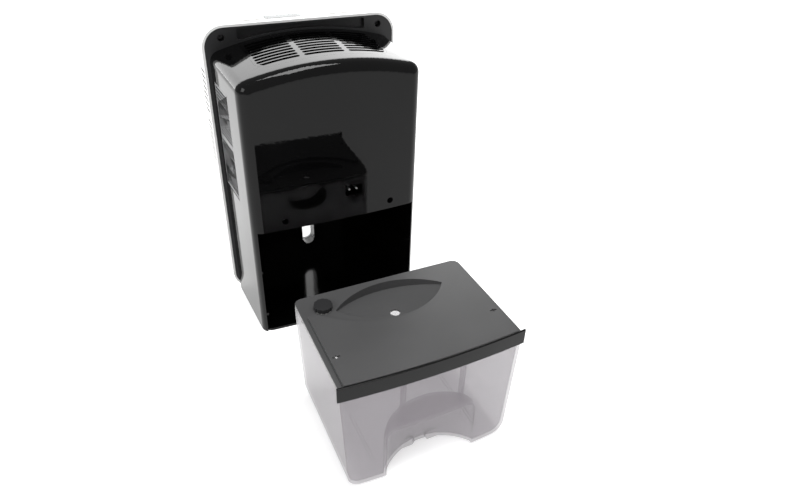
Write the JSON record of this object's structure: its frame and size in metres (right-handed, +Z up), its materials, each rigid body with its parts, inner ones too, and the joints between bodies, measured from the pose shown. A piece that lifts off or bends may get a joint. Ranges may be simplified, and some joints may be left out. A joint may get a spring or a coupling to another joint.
{
  "type": "dehumidifier",
  "caption": "Compact upright dehumidifier: white front cover, glossy black rear body with top outlet grille, rear power inlet and a smoke-clear water tank drawn out of its rear bay.",
  "frame": {"origin": "middle of the main body's flat underside, on the surface it stands on", "axes": "+Z up, the white front cover faces -Y, +X to the right seen from the front; the tank draws out along +Y"},
  "size_m": [0.222, 0.3922, 0.3405],
  "materials": {
    "white_gloss": "smooth glossy white moulding",
    "black_gloss": "polished black moulding",
    "black_satin": "fine satin black moulding",
    "smoky_clear": "smoke-tinted clear plastic",
    "clear": "clear plastic",
    "grey_plastic": "light grey moulding",
    "rubber_black": "soft black rubber",
    "silicone": "translucent silicone",
    "steel": "zinc-plated steel",
    "brass_pin": "plated brass contact",
    "aluminium": "extruded aluminium",
    "ceramic_white": "white ceramic",
    "foam_grey": "closed-cell foam",
    "filter_mesh": "woven filter mesh",
    "board_green": "printed circuit board",
    "component_black": "component moulding",
    "float_foam": "white closed foam",
    "lamp_tint": "diffuse lamp"
  },
  "bodies": {
    "body": {"front_cover": "white_gloss", "back_frame": "black_satin", "rear_housing": "black_gloss", "outlet_grille": "black_gloss", "intake_grille_left": "black_satin", "intake_grille_right": "black_satin", "dust_filter_left": "filter_mesh", "dust_filter_right": "filter_mesh", "tank_bay": "black_gloss", "foot_pads": "rubber_black", "window_tunnel": "black_satin", "level_window": "clear", "inlet_socket": "black_satin", "inlet_pins": "brass_pin", "flange_screws": "steel", "rear_screws": "steel", "bulkhead": "grey_plastic", "insulation_gasket": "foam_grey", "peltier_module": "ceramic_white", "hot_heat_sink": "aluminium", "cold_heat_sink": "aluminium", "sink_screws": "steel", "drip_tray": "grey_plastic", "fan_shelf": "grey_plastic", "fan_frame": "black_satin", "control_board": "board_green", "board_components": "component_black", "power_board": "board_green", "power_transformer": "component_black", "power_capacitors": "component_black", "level_sensor": "component_black", "display_lens": "clear", "button_board": "board_green", "button_switches": "component_black", "indicator_lamps": "lamp_tint"},
    "tank": {"tank_bucket": "smoky_clear", "tank_trim": "black_gloss"},
    "lid": {"tank_lid": "black_gloss", "lid_seal": "silicone", "float_cage": "smoky_clear"},
    "cap": {"drain_cap": "rubber_black", "cap_seal": "silicone"},
    "float": {"tank_float": "float_foam", "float_magnet": "steel"},
    "rotor": {"fan_rotor": "black_satin"},
    "power_key": {"power_button": "white_gloss"},
    "mode_key": {"mode_button": "white_gloss"}
  },
  "joints": [
    {"name": "tank_slide", "type": "slide", "parent": "body", "child": "tank", "axis": [0, 1, 0], "range_m": [-0.24, 0]},
    {"name": "lid_lift", "type": "slide", "parent": "tank", "child": "lid", "axis": [0, 0, 1], "range_m": [0, 0.06]},
    {"name": "cap_lift", "type": "slide", "parent": "lid", "child": "cap", "axis": [0, 0, 1], "range_m": [0, 0.02]},
    {"name": "float_rise", "type": "slide", "parent": "lid", "child": "float", "axis": [0, 0, 1], "range_m": [0, 0.028]},
    {"name": "fan_spin", "type": "hinge", "parent": "body", "child": "rotor", "pos_m": [0, 0.013, 0.3], "axis": [0, 0, 1], "continuous": true},
    {"name": "power_press", "type": "slide", "parent": "body", "child": "power_key", "axis": [0, 0, -1], "range_m": [0, 0.001], "stiffness_N_per_m": 600, "springref_m": -0.0008},
    {"name": "mode_press", "type": "slide", "parent": "body", "child": "mode_key", "axis": [0, 0, -1], "range_m": [0, 0.001], "stiffness_N_per_m": 600, "springref_m": -0.0008}
  ]
}
